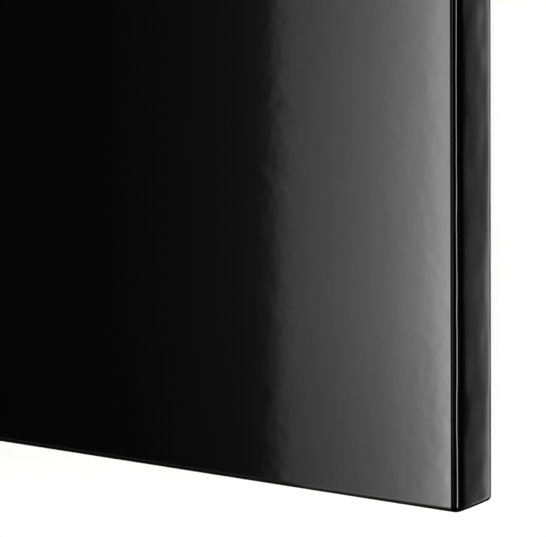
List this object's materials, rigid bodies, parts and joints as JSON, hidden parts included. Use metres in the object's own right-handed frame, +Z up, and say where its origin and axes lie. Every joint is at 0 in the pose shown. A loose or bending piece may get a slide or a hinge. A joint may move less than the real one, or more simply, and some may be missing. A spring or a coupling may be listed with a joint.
{
  "type": "sliding door wardrobe",
  "caption": "Freestanding sliding door wardrobe: white board carcass with shelves and a clothes rail, and plain high-gloss black slab doors rolling on an aluminium top track.",
  "frame": {"origin": "middle of the footprint box on the floor", "axes": "+Z up, the doors face -Y, +X to the right of someone facing the doors"},
  "size_m": [1.5, 0.65, 2.026],
  "materials": {
    "white_board": "satin white melamine on chipboard",
    "white_hardboard": "white lacquered hardboard",
    "gloss_black_door": "high-gloss black foil on MDF",
    "anodised_aluminium": "natural anodised",
    "zinc_steel": "bright zinc plated",
    "chrome_plated": "bright chrome plate",
    "white_nylon": "satin nylon",
    "grey_plastic": "satin plastic",
    "black_plastic": "satin plastic",
    "black_rubber": "matte rubber",
    "brush_pile": "woven pile brush"
  },
  "bodies": {
    "carcass": {"side_panel_left": "white_board", "side_panel_right": "white_board", "centre_partition": "white_board", "top_panel": "white_board", "bottom_panel": "white_board", "front_plinth": "white_board", "rear_plinth": "white_board", "plinth_support": "white_board", "back_panel_left": "white_hardboard", "back_panel_right": "white_hardboard", "back_panel_nails": "zinc_steel", "hat_shelf_left": "white_board", "hat_shelf_right": "white_board", "shelf_1": "white_board", "shelf_2": "white_board", "shelf_3": "white_board", "shelf_4": "white_board", "shelf_pins": "zinc_steel", "clothes_rail": "chrome_plated", "rail_sockets": "chrome_plated", "rail_socket_screws": "zinc_steel", "cam_locks": "zinc_steel", "cam_bolts": "zinc_steel", "partition_screws": "zinc_steel", "levelling_feet": "black_plastic", "wall_brackets": "zinc_steel", "wall_bracket_screws": "zinc_steel", "top_track": "anodised_aluminium", "track_screws": "zinc_steel", "fascia": "white_board", "fascia_screws": "zinc_steel", "end_cap_left": "grey_plastic", "end_cap_right": "grey_plastic", "end_stop_blocks": "black_plastic", "stop_buffers": "black_rubber", "guide_bracket": "zinc_steel", "guide_pegs": "white_nylon", "guide_screws": "zinc_steel"},
    "left_door": {"door_panel_left": "gloss_black_door", "door_stiffeners_left": "anodised_aluminium", "carriage_left_outer": "zinc_steel", "carriage_left_inner": "zinc_steel", "axles_left": "zinc_steel", "carriage_screws_left": "zinc_steel", "meeting_seal": "brush_pile"},
    "right_door": {"door_panel_right": "gloss_black_door", "door_stiffeners_right": "anodised_aluminium", "carriage_right_outer": "zinc_steel", "carriage_right_inner": "zinc_steel", "axles_right": "zinc_steel", "carriage_screws_right": "zinc_steel"},
    "wheel_left_1": {"wheel_left_1": "white_nylon"},
    "wheel_left_2": {"wheel_left_2": "white_nylon"},
    "wheel_left_3": {"wheel_left_3": "white_nylon"},
    "wheel_left_4": {"wheel_left_4": "white_nylon"},
    "wheel_right_1": {"wheel_right_1": "white_nylon"},
    "wheel_right_2": {"wheel_right_2": "white_nylon"},
    "wheel_right_3": {"wheel_right_3": "white_nylon"},
    "wheel_right_4": {"wheel_right_4": "white_nylon"}
  },
  "joints": [
    {"name": "left_door_slide", "type": "slide", "parent": "carcass", "child": "left_door", "axis": [1, 0, 0], "range_m": [0, 0.725]},
    {"name": "right_door_slide", "type": "slide", "parent": "carcass", "child": "right_door", "axis": [-1, 0, 0], "range_m": [0, 0.725]},
    {"name": "wheel_left_1_spin", "type": "hinge", "parent": "left_door", "child": "wheel_left_1", "pos_m": [-0.698, -0.2985, 1.98435], "axis": [0, 1, 0], "continuous": true},
    {"name": "wheel_left_2_spin", "type": "hinge", "parent": "left_door", "child": "wheel_left_2", "pos_m": [-0.622, -0.2985, 1.98435], "axis": [0, 1, 0], "continuous": true},
    {"name": "wheel_left_3_spin", "type": "hinge", "parent": "left_door", "child": "wheel_left_3", "pos_m": [-0.103, -0.2985, 1.98435], "axis": [0, 1, 0], "continuous": true},
    {"name": "wheel_left_4_spin", "type": "hinge", "parent": "left_door", "child": "wheel_left_4", "pos_m": [-0.027, -0.2985, 1.98435], "axis": [0, 1, 0], "continuous": true},
    {"name": "wheel_right_1_spin", "type": "hinge", "parent": "right_door", "child": "wheel_right_1", "pos_m": [0.698, -0.2705, 1.98435], "axis": [0, 1, 0], "continuous": true},
    {"name": "wheel_right_2_spin", "type": "hinge", "parent": "right_door", "child": "wheel_right_2", "pos_m": [0.622, -0.2705, 1.98435], "axis": [0, 1, 0], "continuous": true},
    {"name": "wheel_right_3_spin", "type": "hinge", "parent": "right_door", "child": "wheel_right_3", "pos_m": [0.103, -0.2705, 1.98435], "axis": [0, 1, 0], "continuous": true},
    {"name": "wheel_right_4_spin", "type": "hinge", "parent": "right_door", "child": "wheel_right_4", "pos_m": [0.027, -0.2705, 1.98435], "axis": [0, 1, 0], "continuous": true}
  ],
  "couplings": [
    {"joint": "wheel_left_1_spin", "follows": "left_door_slide", "rad_per_m": 80},
    {"joint": "wheel_left_2_spin", "follows": "left_door_slide", "rad_per_m": 80},
    {"joint": "wheel_left_3_spin", "follows": "left_door_slide", "rad_per_m": 80},
    {"joint": "wheel_left_4_spin", "follows": "left_door_slide", "rad_per_m": 80},
    {"joint": "wheel_right_1_spin", "follows": "right_door_slide", "rad_per_m": -80},
    {"joint": "wheel_right_2_spin", "follows": "right_door_slide", "rad_per_m": -80},
    {"joint": "wheel_right_3_spin", "follows": "right_door_slide", "rad_per_m": -80},
    {"joint": "wheel_right_4_spin", "follows": "right_door_slide", "rad_per_m": -80}
  ]
}
